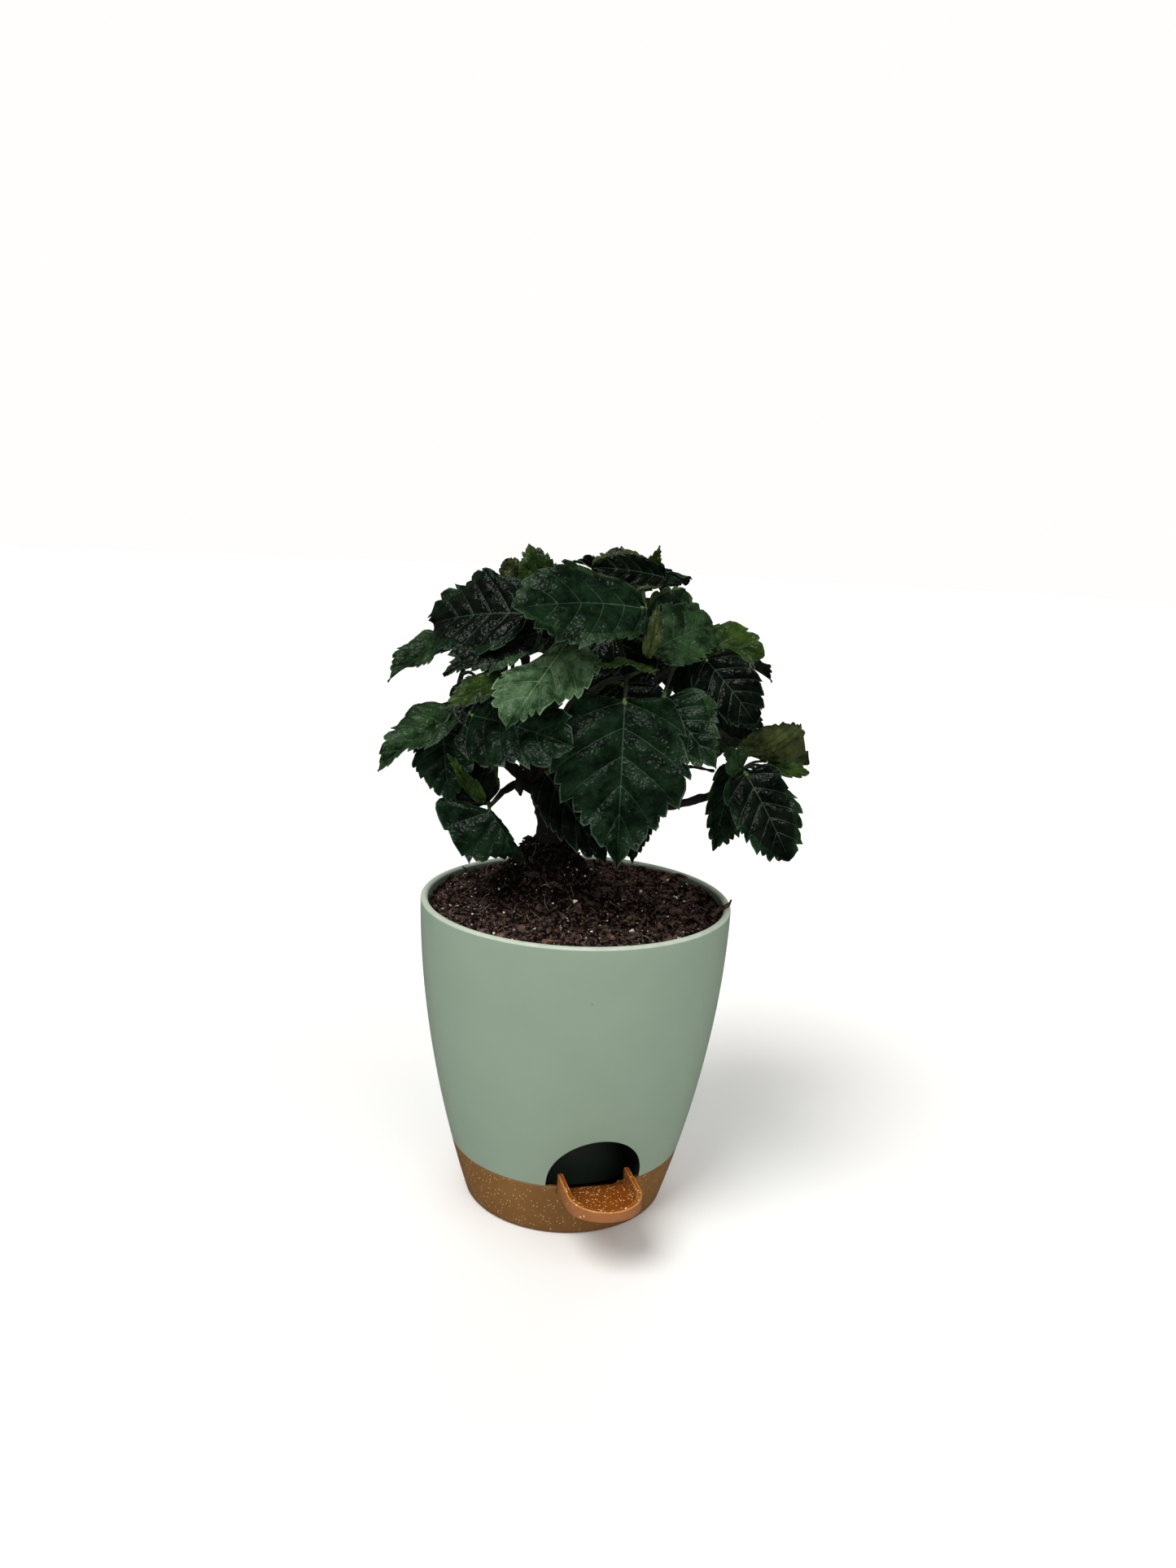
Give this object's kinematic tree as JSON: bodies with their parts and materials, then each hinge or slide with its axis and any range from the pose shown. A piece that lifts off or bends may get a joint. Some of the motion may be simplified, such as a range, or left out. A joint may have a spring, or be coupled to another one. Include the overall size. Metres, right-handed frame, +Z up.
{
  "type": "potted hibiscus shrub",
  "caption": "Young leafy hibiscus shrub in a round tapering self-watering planter with a base tray, an arched recess and a U-shaped filling spout.",
  "frame": {"origin": "centre of the planter's flat underside", "axes": "+Z up, -Y the way the filling spout points, +X to the right when the spout faces the viewer"},
  "size_m": [0.1863, 0.1797, 0.2992],
  "materials": {
    "pot": "sage green, satin moulded",
    "tray": "bronze brown with pale speckles, satin moulded",
    "spout": "caramel with fine glitter, glossy moulded",
    "compost": "loose dark peat with bark bits and white grains",
    "bark": "rough brown bark on stem and boughs",
    "foliage": "dark green leaves with a soft gloss"
  },
  "bodies": {
    "root": {"water_tray": "tray", "fill_spout": "spout", "pot": "pot", "compost": "compost", "stem": "bark", "bough_leader": "bark", "bough_left_top": "bark", "bough_left": "bark", "bough_low_left": "bark", "bough_front": "bark", "bough_low_front": "bark", "bough_right_top": "bark", "bough_right": "bark", "bough_low_right": "bark", "bough_back_left": "bark", "bough_back": "bark", "bough_back_right": "bark", "bough_back_low": "bark", "foliage_crown": "foliage", "foliage_left_top": "foliage", "foliage_left": "foliage", "foliage_low_left": "foliage", "foliage_front": "foliage", "foliage_low_front": "foliage", "foliage_right_top": "foliage", "foliage_right": "foliage", "foliage_low_right": "foliage", "foliage_back_left": "foliage", "foliage_back": "foliage", "foliage_back_right": "foliage", "foliage_back_low": "foliage"}
  },
  "joints": []
}
